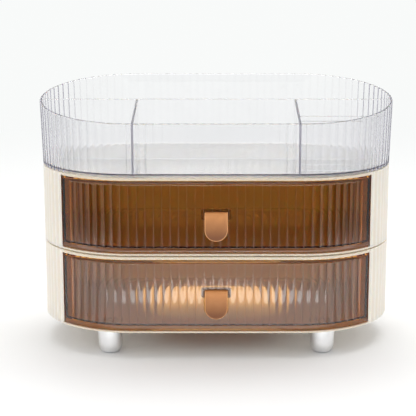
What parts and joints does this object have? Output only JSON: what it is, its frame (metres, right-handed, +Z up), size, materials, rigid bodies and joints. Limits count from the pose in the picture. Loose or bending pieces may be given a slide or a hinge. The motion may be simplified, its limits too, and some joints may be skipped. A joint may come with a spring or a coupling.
{
  "type": "drawer organizer",
  "caption": "Round-ended fluted vanity organizer: stacked cream cabinets with amber drawers and leather pulls, a clear divided tray on top, and rounded silver feet.",
  "frame": {"origin": "on the table, under the middle of the organizer", "axes": "+Z up, the drawers open towards -Y, +X to the right of someone facing the drawers"},
  "size_m": [0.3036, 0.1642, 0.2211],
  "materials": {
    "cream_plastic": "satin moulded",
    "amber_plastic": "clear tinted",
    "clear_plastic": "clear",
    "tan_leather": "smooth, painted edge",
    "brown_leather": "smooth",
    "silver_plate": "satin plated",
    "screw_steel": "plain zinc"
  },
  "bodies": {
    "lower_cabinet": {"lower_shell": "cream_plastic", "lower_base_plate": "cream_plastic", "lower_base_screws": "screw_steel", "front_left_foot": "silver_plate", "front_right_foot": "silver_plate", "rear_left_foot": "silver_plate", "rear_right_foot": "silver_plate", "foot_screws": "screw_steel"},
    "upper_cabinet": {"upper_shell": "cream_plastic", "upper_base_plate": "cream_plastic", "upper_base_screws": "screw_steel"},
    "top_tray": {"tray_tub": "clear_plastic", "tray_long_divider": "clear_plastic", "tray_left_divider": "clear_plastic", "tray_right_divider": "clear_plastic", "tray_short_divider_rear": "clear_plastic", "tray_short_divider_front": "clear_plastic"},
    "lower_drawer": {"lower_drawer_tub": "amber_plastic", "lower_pull_anchor": "brown_leather"},
    "upper_drawer": {"upper_drawer_tub": "amber_plastic", "upper_pull_anchor": "brown_leather"},
    "lower_pull": {"lower_pull_tongue": "tan_leather"},
    "upper_pull": {"upper_pull_tongue": "tan_leather"}
  },
  "joints": [
    {"name": "upper_cabinet_lift", "type": "slide", "parent": "lower_cabinet", "child": "upper_cabinet", "axis": [0, 0, 1], "range_m": [0, 0.06]},
    {"name": "tray_lift", "type": "slide", "parent": "upper_cabinet", "child": "top_tray", "axis": [0, 0, 1], "range_m": [0, 0.08]},
    {"name": "lower_drawer_slide", "type": "slide", "parent": "lower_cabinet", "child": "lower_drawer", "axis": [0, -1, 0], "range_m": [0, 0.12]},
    {"name": "lower_pull_swing", "type": "hinge", "parent": "lower_drawer", "child": "lower_pull", "pos_m": [0, -0.081, 0.058], "axis": [-1, 0, 0], "range_deg": [0, 90]},
    {"name": "upper_drawer_slide", "type": "slide", "parent": "upper_cabinet", "child": "upper_drawer", "axis": [0, -1, 0], "range_m": [0, 0.12]},
    {"name": "upper_pull_swing", "type": "hinge", "parent": "upper_drawer", "child": "upper_pull", "pos_m": [0, -0.081, 0.1244], "axis": [-1, 0, 0], "range_deg": [0, 90]}
  ]
}
